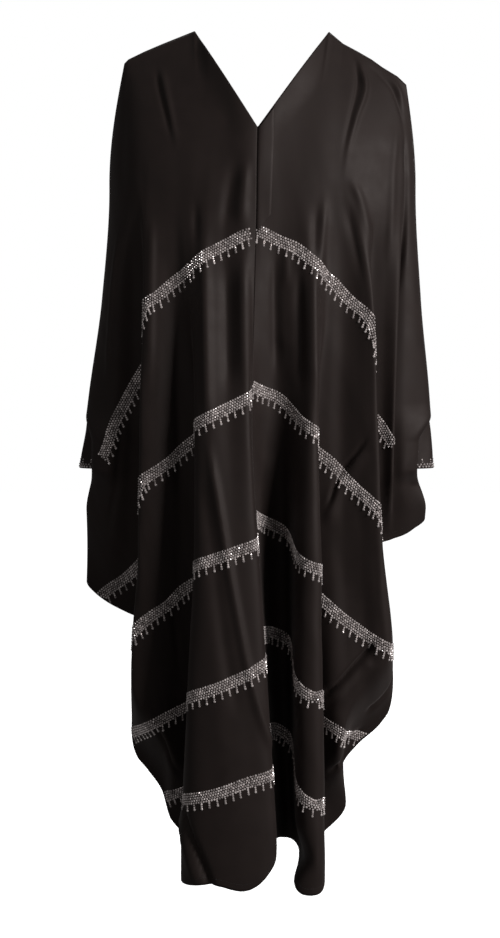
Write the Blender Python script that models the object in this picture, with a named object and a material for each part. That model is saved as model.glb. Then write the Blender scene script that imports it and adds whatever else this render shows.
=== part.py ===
"""A black abaya cloak, worn and hollow: two fronts, a back, a placket and two cuffs.

Each cloth piece is a wall of even thickness. Its shape comes from fold lines that run down the
garment. A table gives each line's place at the neck or shoulder seam and at six heights, and
where the line ends. A smooth section through the lines at each height makes the panel.

The front faces -Y and +X is the wearer's left. The origin is midway between the points where the
neckline meets the shoulders, on the plane of the shoulder, overarm and side seams.
Lengths are in metres.
"""
import math

import bpy
import numpy as np

# Cloth and seams
WALL = 0.0015
SEAM_GAP = 0.0003
SEAM_SIDE = WALL / 2 + SEAM_GAP / 2

# Heights, measured from the point where the neckline meets the shoulder
CHEST, WAIST, HIP, THIGH, KNEE, HEM = -0.250, -0.430, -0.640, -0.850, -1.060, -1.280
HEIGHTS = np.array((CHEST, WAIST, HIP, THIGH, KNEE, HEM))
FRONT_V_POINT = (-0.004, -0.162)
BACK_V_POINT = (0.000, -0.138)
RIGHT_SHOULDER = ((-0.219, -0.052), (-0.212, -0.045), (-0.187, -0.033), (-0.156, -0.020),
                  (-0.105, 0.000))
LEFT_SHOULDER = ((0.111, -0.001), (0.134, -0.020), (0.157, -0.032), (0.180, -0.045),
                 (0.197, -0.057), (0.222, -0.072), (0.237, -0.086))

# The side seam draws front and back together over this height, and the back hangs less full
SEAM_PULL = 0.120
BACK_FULLNESS = 0.98

# The cuffs, and the slit at the wrist end of each wing where a cuff leaves it
CUFF_TOP_Z = -0.616
CUFF_LENGTH = 0.090
CUFF_HALF_WIDTH = 0.038
CUFF_HALF_DEPTH = (0.019, 0.023)
RIGHT_CUFF_SIDE = (-0.2815, -0.2965)
LEFT_CUFF_SIDE = (0.2770, 0.2860)
CUFF_STEPS = 32
CUFF_ROWS = 3
SLIT_TOP_Z = -0.612
SLIT_TURN = 0.045
SLIT_END_Z = -0.706
SLIT_CLOSES = 0.070
SLIT_DEPTH = 0.032
SLIT_FOLDS = 2
RIGHT_SLIT_INSET = 0.013
LEFT_SLIT_INSET = 0.022

# The placket lies on the left front, counted in folds from the centre seam
PLACKET_THICKNESS = 0.0016
PLACKET_GAP = 0.0005
PLACKET_FOLDS = (1.42, 1.0, 0.5, 0.10)
PLACKET_PARTS = (0.004, 0.146)

# The share of a smoother curve in each section, which rounds the folds
ROUNDING = 0.4

# How finely the walls are divided: rows lie closer together near the shoulders
ROWS = 16
ROW_SPREAD = 1.2
STEPS_PER_FOLD = 2
SLOPE_STEP = 0.01
CLOSEST_ROWS = 0.012
SMALLEST_SPAN = 1e-6

# The fold lines have one row each: the line's name, its x and y on the neckline or shoulder seam,
# its x and its y at the six heights, where it ends, and whether it ends in the side seam.
FOLD_COLUMNS = ("name", "top", "x", "y", "end", "in_side_seam")

CENTRE_FOLD = (
    "centre", (-.004, -.104), (-.005, -.010, -.014, -.002, .010, .024),
    (-.114, -.122, -.132, -.128, -.128, -.130), -1.294, False)

RIGHT_FOLDS = (
    ("column_edge", (-.028, -.095), (-.030, -.022, -.017, -.002, .012, .027),
     (-.116, -.130, -.150, -.160, -.165, -.168), -1.318, False),
    ("column_dip", (-.052, -.078), (-.054, -.055, -.050, -.038, -.027, -.016),
     (-.110, -.122, -.148, -.166, -.176, -.182), -1.365, False),
    ("column_crest", (-.080, -.045), (-.085, -.085, -.082, -.075, -.072, -.073),
     (-.110, -.128, -.152, -.168, -.176, -.180), -1.362, False),
    ("column_side", (-.105, .000), (-.110, -.104, -.104, -.107, -.119, -.127),
     (-.102, -.116, -.138, -.150, -.156, -.158), -1.358, False),
    ("column_turn", (-.122, .000), (-.123, -.113, -.091, -.087, -.091, -.110),
     (-.099, -.106, -.104, -.090, -.062, -.006), -1.342, True),
    ("second_start", (-.136, .000), (-.134, -.125, -.119, -.125, -.133, -.152),
     (-.097, -.097, -.090, -.082, -.066, -.040), -1.296, True),
    ("second_inner", (-.150, .000), (-.147, -.141, -.140, -.144, -.152, -.164),
     (-.095, -.097, -.095, -.088, -.076, -.060), -1.246, True),
    ("second_middle", (-.168, .000), (-.164, -.162, -.165, -.173, -.181, -.190),
     (-.091, -.100, -.103, -.098, -.086, -.070), -1.214, True),
    ("second_edge", (-.184, .000), (-.183, -.186, -.194, -.199, -.212, -.223),
     (-.086, -.096, -.100, -.096, -.084, -.064), -1.171, True),
    ("second_turn", (-.194, .000), (-.191, -.177, -.172, -.178, -.193, -.204),
     (-.080, -.068, -.056, -.050, -.044, -.040), -0.963, True),
    ("wing_inner", (-.203, .000), (-.201, -.200, -.205, -.213, -.226, -.235),
     (-.074, -.054, -.044, -.040, -.036, -.030), -0.948, True),
    ("wing_middle", (-.210, .000), (-.213, -.226, -.236, -.246, -.256, -.265),
     (-.064, -.054, -.048, -.040, -.034, -.030), -0.932, True),
    ("wing_outer", (-.215, .000), (-.231, -.246, -.264, -.270, -.277, -.282),
     (-.040, -.042, -.040, -.026, -.020, -.020), -0.916, True),
    ("overarm", (-.219, .000), (-.246, -.259, -.289, -.287, -.296, -.297),
     (.000, .000, .000, .000, .000, .000), -0.896, True),
)

LEFT_FOLDS = (
    ("recess_start", (.014, -.098), (.007, .006, .003, .010, .018, .033),
     (-.112, -.114, -.104, -.072, -.058, -.056), -1.315, False),
    ("recess_floor", (.034, -.088), (.028, .025, .032, .036, .040, .047),
     (-.108, -.106, -.090, -.054, -.044, -.044), -1.320, False),
    ("column_inner", (.058, -.071), (.053, .059, .063, .060, .057, .061),
     (-.107, -.112, -.118, -.130, -.138, -.142), -1.374, False),
    ("column_crest", (.084, -.042), (.075, .078, .081, .082, .084, .086),
     (-.108, -.120, -.132, -.142, -.148, -.152), -1.383, False),
    ("column_side", (.111, .000), (.099, .093, .094, .098, .103, .107),
     (-.102, -.113, -.124, -.132, -.136, -.138), -1.373, False),
    ("column_turn", (.122, .000), (.107, .104, .080, .076, .079, .091),
     (-.099, -.098, -.090, -.076, -.054, -.006), -1.337, True),
    ("second_start", (.131, .000), (.114, .117, .112, .118, .132, .158),
     (-.097, -.093, -.086, -.084, -.082, -.064), -1.275, True),
    ("second_inner", (.140, .000), (.122, .131, .131, .135, .139, .141),
     (-.095, -.089, -.081, -.072, -.056, -.040), -1.214, True),
    ("second_middle", (.149, .000), (.130, .149, .153, .161, .171, .173),
     (-.093, -.090, -.090, -.086, -.072, -.060), -1.166, True),
    ("second_outer", (.158, .000), (.137, .165, .173, .181, .198, .201),
     (-.093, -.096, -.097, -.093, -.076, -.060), -1.141, True),
    ("second_edge", (.168, .000), (.145, .178, .189, .199, .225, .230),
     (-.092, -.099, -.100, -.094, -.070, -.060), -1.090, True),
    ("second_turn", (.184, .000), (.176, .165, .169, .182, .197, .199),
     (-.074, -.064, -.056, -.050, -.040, -.040), -0.835, True),
    ("third_middle", (.198, .000), (.200, .198, .199, .202, .204, .206),
     (-.068, -.058, -.050, -.044, -.040, -.040), -0.830, True),
    ("third_edge", (.210, .000), (.228, .223, .217, .213, .216, .217),
     (-.054, -.060, -.062, -.050, -.040, -.040), -0.827, True),
    ("third_turn", (.218, .000), (.232, .211, .206, .223, .225, .227),
     (-.044, -.038, -.041, -.036, -.030, -.030), -0.824, True),
    ("wing_middle", (.225, .000), (.240, .235, .234, .240, .241, .242),
     (-.036, -.038, -.045, -.036, -.020, -.020), -0.818, True),
    ("wing_outer", (.231, .000), (.248, .253, .260, .254, .256, .258),
     (-.022, -.028, -.040, -.030, -.010, -.010), -0.808, True),
    ("overarm", (.237, .000), (.253, .264, .284, .272, .274, .275),
     (.000, .000, .000, .000, .000, .000), -0.791, True),
)

# The middle of the back, from the right neck point to the left one
BACK_FOLDS = (
    ("right_ridge", (-.072, .040), (-.080, -.078, -.078, -.080, -.084, -.088),
     (.096, .100, .112, .120, .128, .132), -1.335, False),
    ("right_dip", (-.036, .062), (-.040, -.042, -.044, -.044, -.046, -.048),
     (.098, .090, .088, .092, .096, .098), -1.322, False),
    ("centre_back", (.000, .072), (.000, .000, .002, .004, .004, .004),
     (.102, .100, .108, .116, .124, .128), -1.335, False),
    ("left_dip", (.038, .062), (.038, .038, .040, .042, .044, .046),
     (.098, .088, .086, .088, .092, .094), -1.322, False),
    ("left_ridge", (.076, .040), (.072, .070, .070, .072, .076, .080),
     (.096, .100, .110, .118, .124, .126), -1.335, False),
)

CLOTH_COLOUR = (0.018, 0.016, 0.016, 1.0)
TRIM_COLOUR = (0.026, 0.023, 0.023, 1.0)
CLOTH_ROUGHNESS = 0.72
SHARP_ANGLE = math.radians(50)


def smooth(value):
    """Rise from 0 to 1 with level ends."""
    value = np.clip(value, 0.0, 1.0)
    return value * value * (3.0 - 2.0 * value)


def records(rows):
    """Rows of the fold tables with their columns named."""
    return [dict(zip(FOLD_COLUMNS, row)) for row in rows]


def behind(line):
    """The back's fold behind a front fold, at the same x and with less depth."""
    return dict(line, y=tuple(-BACK_FULLNESS * y for y in line["y"]))


def top_height(x, v_point):
    """Height of the neckline and of the shoulder seams at x."""
    points = RIGHT_SHOULDER + (v_point,) + LEFT_SHOULDER
    return np.interp(x, [point[0] for point in points], [point[1] for point in points])


def down_the_line(values, z):
    """A cubic curve through a line's values at the six heights, level at the chest."""
    depths, depth = -HEIGHTS, -z
    values = np.array(values)
    slopes = np.gradient(values, depths)
    slopes[0] = 0.0
    index = np.clip(np.searchsorted(depths, depth) - 1, 0, len(depths) - 2)
    span = depths[index + 1] - depths[index]
    share = np.clip((depth - depths[index]) / span, 0.0, 1.0)
    low_slope, high_slope = slopes[index] * span, slopes[index + 1] * span
    rest = 1 - share
    return (values[index] * (1 + 2 * share) * rest ** 2 + low_slope * share * rest ** 2
            + values[index + 1] * (1 + 2 * rest) * share ** 2 - high_slope * share ** 2 * rest)


def line_places(line, v_point, side, part):
    """Places x and y on a fold line, from its top at part 0 to its end at part 1."""
    top_x, top_y = line["top"]
    top_z = top_height(top_x, v_point)
    z = top_z + part * (line["end"] - top_z)
    rounding = np.sin(np.clip((top_z - z) / (top_z - CHEST), 0.0, 1.0) * math.pi / 2)
    yoke_x = top_x + (line["x"][0] - top_x) * rounding
    yoke_y = top_y + (line["y"][0] - top_y) * rounding
    x = np.where(z > CHEST, yoke_x, down_the_line(line["x"], z))
    y = np.where(z > CHEST, yoke_y, down_the_line(line["y"], z))
    if line["in_side_seam"]:
        apart = smooth((z - line["end"]) / SEAM_PULL)
        y = y * apart + side * SEAM_SIDE * (1 - apart)
    return np.stack([x, y], axis=-1)


class Panel:
    """A cloth panel as a smooth surface through its fold lines.

    A place on it is given by a fold, which counts along the lines, and by a part, which runs from
    0 at the neck or shoulder seam to 1 at the lower edge. Panels go round the body with their
    outer side on the left of the way, so that across times down points out of the cloth.
    """

    def __init__(self, lines, before, after, v_point, side, slits):
        self.lines = [before] + lines + [after]
        self.last = len(lines) - 1
        self.ends = [line["end"] for line in lines]
        self.v_point = v_point
        self.side = side
        self.slits = slits

    def section(self, fold, part):
        """A curve through the four fold lines nearest to each place, centripetal and then rounded."""
        first = np.clip(np.floor(fold).astype(int), 0, self.last - 1)
        places = np.array([line_places(line, self.v_point, self.side, part) for line in self.lines])
        columns = np.arange(len(part))
        points = [places[first + step, columns] for step in range(4)]
        knots = [np.zeros(len(part))]
        for near, far in zip(points, points[1:]):
            span = np.maximum(np.linalg.norm(far - near, axis=-1), SMALLEST_SPAN)
            knots.append(knots[-1] + np.sqrt(span))
        where = knots[1] + (fold - first) * (knots[2] - knots[1])

        def blend(low, high, start, end):
            share = ((where - start) / (end - start))[:, None]
            return low * (1 - share) + high * share

        lower = [blend(points[i], points[i + 1], knots[i], knots[i + 1]) for i in range(3)]
        upper = [blend(lower[i], lower[i + 1], knots[i], knots[i + 2]) for i in range(2)]
        through = blend(upper[0], upper[1], knots[1], knots[2])
        share = (fold - first)[:, None]
        weights = ((1 - share) ** 3, 3 * share ** 3 - 6 * share ** 2 + 4,
                   -3 * share ** 3 + 3 * share ** 2 + 3 * share + 1, share ** 3)
        rounded = sum(weight * place for weight, place in zip(weights, points)) / 6
        return through * (1 - ROUNDING) + rounded * ROUNDING

    def point(self, fold, part):
        """Places on the middle of the wall."""
        fold, part = (array.astype(float) for array in np.broadcast_arrays(fold, part))
        shape = fold.shape
        fold, part = fold.ravel(), part.ravel()
        x, y = self.section(fold, part).T
        top = top_height(self.section(fold, np.zeros_like(part))[:, 0], self.v_point)
        z = top + part * (np.interp(fold, np.arange(self.last + 1), self.ends) - top)
        for edge, inset in self.slits:
            opening = self.slit_opening(z)
            nearness = np.clip(1 - np.abs(fold - edge) / SLIT_FOLDS, 0.0, 1.0)
            x = x + inset * nearness * opening ** 2
            y = y + self.side * SLIT_DEPTH * nearness * opening
        y = self.side * np.maximum(self.side * y, np.where(z > SLIT_TOP_Z, SEAM_GAP / 2, SEAM_SIDE))
        return np.stack([x, y, z], axis=-1).reshape(shape + (3,))

    def slit_opening(self, z):
        """How far the wing stands off the overarm seam at z, where the cuff comes out."""
        return smooth((SLIT_TOP_Z - z) / SLIT_TURN) * smooth((z - SLIT_END_Z) / SLIT_CLOSES + 1)

    def outward(self, fold, part):
        """Directions out of the cloth."""
        across = (self.point(np.minimum(fold + SLOPE_STEP, self.last), part)
                  - self.point(np.maximum(fold - SLOPE_STEP, 0.0), part))
        down = (self.point(fold, np.minimum(part + SLOPE_STEP, 1.0))
                - self.point(fold, np.maximum(part - SLOPE_STEP, 0.0)))
        normal = np.cross(across, down)
        return normal / np.linalg.norm(normal, axis=-1, keepdims=True)

    def grid(self):
        """Places and outward directions at the corners of the wall's faces."""
        folds = np.linspace(0.0, self.last, self.last * STEPS_PER_FOLD + 1)
        fold, part = np.meshgrid(folds, row_parts(), indexing="ij")
        places, outward = self.point(fold, part), self.outward(fold, part)
        self.mitre_seams(places, outward)
        return places, outward

    def mitre_seams(self, places, outward):
        """Part the centre seam by its gap, and mitre the shoulder and overarm seams on their plane."""
        on_shoulder = np.abs(places[:, 0, 1]) < SEAM_SIDE
        outward[on_shoulder, 0, 1] = 0.0
        for edge in (0, -1):
            inside = 1 if edge == 0 else -2
            if any(abs(slit[0] - edge % (self.last + 1)) < 1 for slit in self.slits):
                opening = self.slit_opening(places[edge, :, 2])
                outward[edge, :, 1] *= opening
                outward[edge, :, 0] += (1 - opening) * np.sign(places[edge, :, 0])
            else:
                inward = places[inside] - places[edge]
                inward /= np.linalg.norm(inward, axis=-1, keepdims=True)
                places[edge] += inward * SEAM_GAP / 2
        outward /= np.linalg.norm(outward, axis=-1, keepdims=True)


def row_parts():
    """The parts of the rows that all panels share, with a row on each height of the cuff slits."""
    marks = []
    heights = (SLIT_TOP_Z, SLIT_TOP_Z - SLIT_TURN / 2, SLIT_TOP_Z - SLIT_TURN, SLIT_END_Z)
    overarms = records((RIGHT_FOLDS[-1], LEFT_FOLDS[-1]))
    for shoulder, overarm in zip((RIGHT_SHOULDER[0], LEFT_SHOULDER[-1]), overarms):
        marks += [(z - shoulder[1]) / (overarm["end"] - shoulder[1]) for z in heights]
    even = np.linspace(0.0, 1.0, ROWS + 1) ** ROW_SPREAD
    kept = [part for part in even if all(abs(part - mark) > CLOSEST_ROWS for mark in marks)]
    return np.array(sorted(kept + marks))


def cloth_material(name, colour):
    """Plain cloth for one piece."""
    material = bpy.data.materials.new(name)
    material.use_nodes = True
    shader = material.node_tree.nodes["Principled BSDF"]
    shader.inputs["Base Color"].default_value = colour
    shader.inputs["Roughness"].default_value = CLOTH_ROUGHNESS
    shader.inputs["Metallic"].default_value = 0.0
    return material


def add_object(name, vertices, faces, colour):
    """A shaded mesh object with its own material."""
    mesh = bpy.data.meshes.new(name)
    mesh.from_pydata(vertices.tolist(), [], faces)
    mesh.shade_smooth()
    mesh.set_sharp_from_angle(angle=SHARP_ANGLE)
    mesh.materials.append(cloth_material(name + "_cloth", colour))
    item = bpy.data.objects.new(name, mesh)
    bpy.context.scene.collection.objects.link(item)
    return item


def wall(name, places, outward, thickness, colour, closed=False):
    """A wall round a grid of places, with half its thickness to each side."""
    across, down = places.shape[:2]
    half = outward * thickness / 2
    vertices = np.concatenate([(places + half).reshape(-1, 3), (places - half).reshape(-1, 3)])
    inner = across * down
    index = np.arange(inner).reshape(across, down)
    if closed:
        index = np.concatenate([index, index[:1]])
    corners = (index[:-1, :-1], index[1:, :-1], index[1:, 1:], index[:-1, 1:])
    faces = []
    for a, b, c, d in zip(*(corner.ravel().tolist() for corner in corners)):
        faces += [(a, b, c), (a, c, d)]
        faces += [(inner + c, inner + b, inner + a), (inner + d, inner + c, inner + a)]
    rims = [index[::-1, 0], index[:, -1]]
    if not closed:
        rims += [index[0, :], index[-1, ::-1]]
    for rim in rims:
        for a, b in zip(rim[:-1].tolist(), rim[1:].tolist()):
            faces += [(a, b, inner + b), (a, inner + b, inner + a)]
    return add_object(name, vertices, faces, colour)


def make_panels():
    """The two fronts and the back, which share their fold lines at the seams."""
    right = records((CENTRE_FOLD,) + RIGHT_FOLDS)
    left = records((CENTRE_FOLD,) + LEFT_FOLDS)
    neck_right, neck_left = RIGHT_SHOULDER[-1][0], LEFT_SHOULDER[0][0]
    back_right = [behind(line) for line in right if line["top"][0] <= neck_right]
    back_left = [behind(line) for line in left if line["top"][0] >= neck_left]
    back = back_right[::-1] + records(BACK_FOLDS) + back_left
    left = left[::-1]
    right_slit = [(len(right) - 1, RIGHT_SLIT_INSET)]
    left_slit = [(0, -LEFT_SLIT_INSET)]
    back_slits = [(0, RIGHT_SLIT_INSET), (len(back) - 1, -LEFT_SLIT_INSET)]
    panels = {
        "front_left": Panel(left, back[-2], right[1], FRONT_V_POINT, -1, left_slit),
        "front_right": Panel(right, left[-2], back[1], FRONT_V_POINT, -1, right_slit),
        "back": Panel(back, right[-2], left[1], BACK_V_POINT, 1, back_slits),
    }
    for name, panel in panels.items():
        wall(name, *panel.grid(), WALL, CLOTH_COLOUR)
    return panels


def make_placket(front):
    """A strip along the centre seam, raised from the left front's own points."""
    places, outward = front.grid()
    parts = row_parts()
    inside = [part for part in parts if PLACKET_PARTS[0] < part < PLACKET_PARTS[1]]
    parts_wanted = [PLACKET_PARTS[0]] + inside + [PLACKET_PARTS[1]]
    columns = (front.last - np.array(PLACKET_FOLDS)) * STEPS_PER_FOLD
    steps = np.arange(len(places))

    def along(values, wanted, known):
        return np.array([np.interp(wanted, known, row) for row in values])

    def sample(values):
        axes = [along(values[:, :, axis], parts_wanted, parts) for axis in range(3)]
        return np.stack([along(axis.T, columns, steps).T for axis in axes], axis=-1)

    raised = sample(places) + sample(outward) * (WALL / 2 + PLACKET_GAP + PLACKET_THICKNESS / 2)
    wall("placket", raised, sample(outward), PLACKET_THICKNESS, TRIM_COLOUR)


def make_cuff(name, outer_side):
    """A short open tube whose outer side carries on the line of the overarm seam."""
    around = -np.linspace(0.0, 2 * math.pi, CUFF_STEPS, endpoint=False)
    share = np.linspace(0.0, 1.0, CUFF_ROWS + 1)
    angle, down = np.meshgrid(around, share, indexing="ij")
    outer_x = outer_side[0] + (outer_side[1] - outer_side[0]) * down
    x = outer_x + CUFF_HALF_WIDTH * (np.cos(angle) - math.copysign(1.0, outer_side[0]))
    half_depth = CUFF_HALF_DEPTH[0] + (CUFF_HALF_DEPTH[1] - CUFF_HALF_DEPTH[0]) * down
    y = half_depth * np.sin(angle)
    z = CUFF_TOP_Z - CUFF_LENGTH * down
    level = np.zeros_like(angle)
    outward = np.stack([np.cos(angle) / CUFF_HALF_WIDTH, np.sin(angle) / half_depth, level], axis=-1)
    outward /= np.linalg.norm(outward, axis=-1, keepdims=True)
    wall(name, np.stack([x, y, z], axis=-1), outward, WALL, CLOTH_COLOUR, closed=True)


def main():
    """Clear the scene and build the six pieces."""
    for item in list(bpy.data.objects):
        bpy.data.objects.remove(item, do_unlink=True)
    panels = make_panels()
    make_placket(panels["front_left"])
    make_cuff("cuff_right", RIGHT_CUFF_SIDE)
    make_cuff("cuff_left", LEFT_CUFF_SIDE)


main()
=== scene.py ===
"""Dress the abaya cloak: black crepe in soft folds, chevron bands of stones, cuffs and a stage.

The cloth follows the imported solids. Fold lines run down each panel, and a smooth section through
them at each height gives its surface. Creases and a faint drape are laid over that, and the
stones and stitches are set out along the finished cloth.

The front faces -Y and +X is the wearer's left. Lengths are in metres.
"""
import functools
import math

import bpy
import numpy as np
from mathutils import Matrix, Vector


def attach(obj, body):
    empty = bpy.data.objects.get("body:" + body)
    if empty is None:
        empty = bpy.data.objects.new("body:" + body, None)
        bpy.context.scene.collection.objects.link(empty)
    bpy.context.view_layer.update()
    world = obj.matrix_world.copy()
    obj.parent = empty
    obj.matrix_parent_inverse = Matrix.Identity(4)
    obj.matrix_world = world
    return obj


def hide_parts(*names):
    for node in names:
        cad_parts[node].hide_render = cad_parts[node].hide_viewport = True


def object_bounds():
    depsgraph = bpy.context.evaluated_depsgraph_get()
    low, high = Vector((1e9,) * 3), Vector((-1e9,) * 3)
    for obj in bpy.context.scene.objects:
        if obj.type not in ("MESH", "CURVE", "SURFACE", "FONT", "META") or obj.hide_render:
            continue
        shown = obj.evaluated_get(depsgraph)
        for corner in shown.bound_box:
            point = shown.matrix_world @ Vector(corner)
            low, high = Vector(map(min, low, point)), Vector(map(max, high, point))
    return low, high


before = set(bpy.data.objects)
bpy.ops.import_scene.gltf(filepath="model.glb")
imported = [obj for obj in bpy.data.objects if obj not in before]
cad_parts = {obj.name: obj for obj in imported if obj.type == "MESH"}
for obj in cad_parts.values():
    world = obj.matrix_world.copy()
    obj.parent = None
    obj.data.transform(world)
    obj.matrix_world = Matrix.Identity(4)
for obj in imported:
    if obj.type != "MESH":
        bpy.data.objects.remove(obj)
CAD_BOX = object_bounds()

bl_info = {
    "name": "Abaya Cloak",
    "version": (1, 0, 0),
    "blender": (4, 5, 0),
    "location": "3D View > Sidebar > Cloak",
    "description": "Dresses a hollow abaya cloak in crepe and bands of stones",
    "category": "Object",
}

BODY = "root"

# The seams: their gaps, and how far the middle of the cloth lies from the plane of the side seams
SEAM_GAP = 0.0001
CENTRE_GAP = 0.0003
SEAM_SIDE = 0.0005

# Heights, measured from the point where the neckline meets the shoulder
CHEST, WAIST, HIP, THIGH, KNEE, HEM = -0.250, -0.430, -0.640, -0.850, -1.060, -1.280
HEIGHTS = np.array((CHEST, WAIST, HIP, THIGH, KNEE, HEM))
FRONT_V_POINT = (-0.004, -0.162)
BACK_V_POINT = (0.000, -0.152)
RIGHT_SHOULDER = ((-0.219, -0.052), (-0.212, -0.045), (-0.187, -0.033), (-0.156, -0.020),
                  (-0.105, 0.000))
LEFT_SHOULDER = ((0.111, -0.001), (0.134, -0.020), (0.157, -0.032), (0.180, -0.045),
                 (0.197, -0.057), (0.222, -0.072), (0.237, -0.086))
SEAM_PULL = 0.120
BACK_FULLNESS = 0.98

# The cuffs, and the slit at the wrist end of each wing where a cuff leaves it
CUFF_TOP_Z = -0.616
CUFF_LENGTH = 0.090
CUFF_HALF_WIDTH = 0.038
CUFF_HALF_DEPTH = (0.019, 0.023)
CUFF_SIDES = {"right": (-0.2815, -0.2965), "left": (0.2770, 0.2860)}
CUFF_STEPS = (96, 37)
CUFF_RIPPLE = 0.0009
TAIL_FOLD = 3.0
TAIL_FOLDS = 1.8
TAIL_TOP_Z = -1.270
TAIL_LENGTH = 0.105
TAIL_SWAY = 0.012
TAIL_CURL = 0.008
SLIT_TOP_Z = -0.597
SLIT_TURN = 0.060
INSET_TOP_Z = -0.618
INSET_TURN = 0.045
SLIT_END_Z = -0.706
SLIT_CLOSES = 0.030
INSET_CLOSES = 0.070
SLIT_DEPTH = 0.0245
SLIT_FOLDS = 3
RIGHT_SLIT_INSET = 0.013
LEFT_SLIT_INSET = 0.022

# The placket lies on the left front, counted in folds from the centre seam
PLACKET_GAP = 0.0002
PLACKET_FOLDS = (1.42, 0.10)
PLACKET_PARTS = (0.004, 0.146)
PLACKET_STEPS = (25, 90)
PLACKET_FULLNESS = 0.0006
PLACKET_EDGE = 8
ROUNDING = 0.4

# Corners of the lower edge are rounded over this many folds
EDGE_ROUNDING = 0.55

# How finely the cloth is divided
ROWS = 300
WALK_STEPS = 4
FINE_STEPS = {"front_right": 11, "front_left": 9, "back": 5}
SMALLEST_SPAN = 1e-6
SMALLEST_LENGTH = 1e-12

# The fold lines have one row each: the line's name, its x and y on the neckline or shoulder seam,
# its x and its y at the six heights, where it ends, and whether it ends in the side seam.
FOLD_COLUMNS = ("name", "top", "x", "y", "end", "in_side_seam")

CENTRE_FOLD = (
    "centre", (-.004, -.104), (-.005, -.010, -.014, -.002, .010, .024),
    (-.114, -.122, -.132, -.128, -.128, -.130), -1.294, False)

RIGHT_FOLDS = (
    ("column_edge", (-.028, -.095), (-.030, -.022, -.017, -.002, .012, .027),
     (-.116, -.130, -.150, -.160, -.165, -.168), -1.318, False),
    ("column_dip", (-.052, -.078), (-.054, -.055, -.050, -.038, -.027, -.016),
     (-.110, -.122, -.148, -.166, -.176, -.182), -1.374, False),
    ("column_crest", (-.080, -.045), (-.085, -.085, -.082, -.075, -.072, -.073),
     (-.110, -.128, -.152, -.168, -.176, -.180), -1.347, False),
    ("column_side", (-.105, .000), (-.110, -.104, -.104, -.107, -.119, -.127),
     (-.102, -.116, -.138, -.150, -.156, -.158), -1.364, False),
    ("column_turn", (-.122, .000), (-.123, -.113, -.091, -.087, -.091, -.110),
     (-.099, -.106, -.104, -.090, -.062, -.006), -1.342, True),
    ("second_start", (-.136, .000), (-.134, -.125, -.119, -.125, -.133, -.152),
     (-.097, -.097, -.090, -.082, -.066, -.040), -1.296, True),
    ("second_inner", (-.150, .000), (-.147, -.141, -.140, -.144, -.152, -.164),
     (-.095, -.097, -.095, -.088, -.076, -.060), -1.246, True),
    ("second_middle", (-.168, .000), (-.164, -.162, -.165, -.173, -.181, -.190),
     (-.091, -.100, -.103, -.098, -.086, -.070), -1.214, True),
    ("second_edge", (-.184, .000), (-.183, -.186, -.194, -.199, -.212, -.223),
     (-.086, -.096, -.100, -.096, -.084, -.064), -1.171, True),
    ("second_turn", (-.194, .000), (-.191, -.177, -.172, -.178, -.193, -.204),
     (-.080, -.068, -.056, -.050, -.044, -.040), -0.963, True),
    ("wing_inner", (-.203, .000), (-.201, -.200, -.205, -.213, -.226, -.235),
     (-.074, -.054, -.044, -.040, -.036, -.030), -0.948, True),
    ("wing_middle", (-.210, .000), (-.213, -.226, -.236, -.246, -.256, -.265),
     (-.064, -.054, -.048, -.040, -.034, -.030), -0.932, True),
    ("wing_outer", (-.215, .000), (-.231, -.246, -.264, -.270, -.277, -.282),
     (-.040, -.038, -.028, -.024, -.020, -.020), -0.916, True),
    ("overarm", (-.219, .000), (-.246, -.259, -.289, -.287, -.296, -.297),
     (.000, .000, .000, .000, .000, .000), -0.896, True),
)

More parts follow.
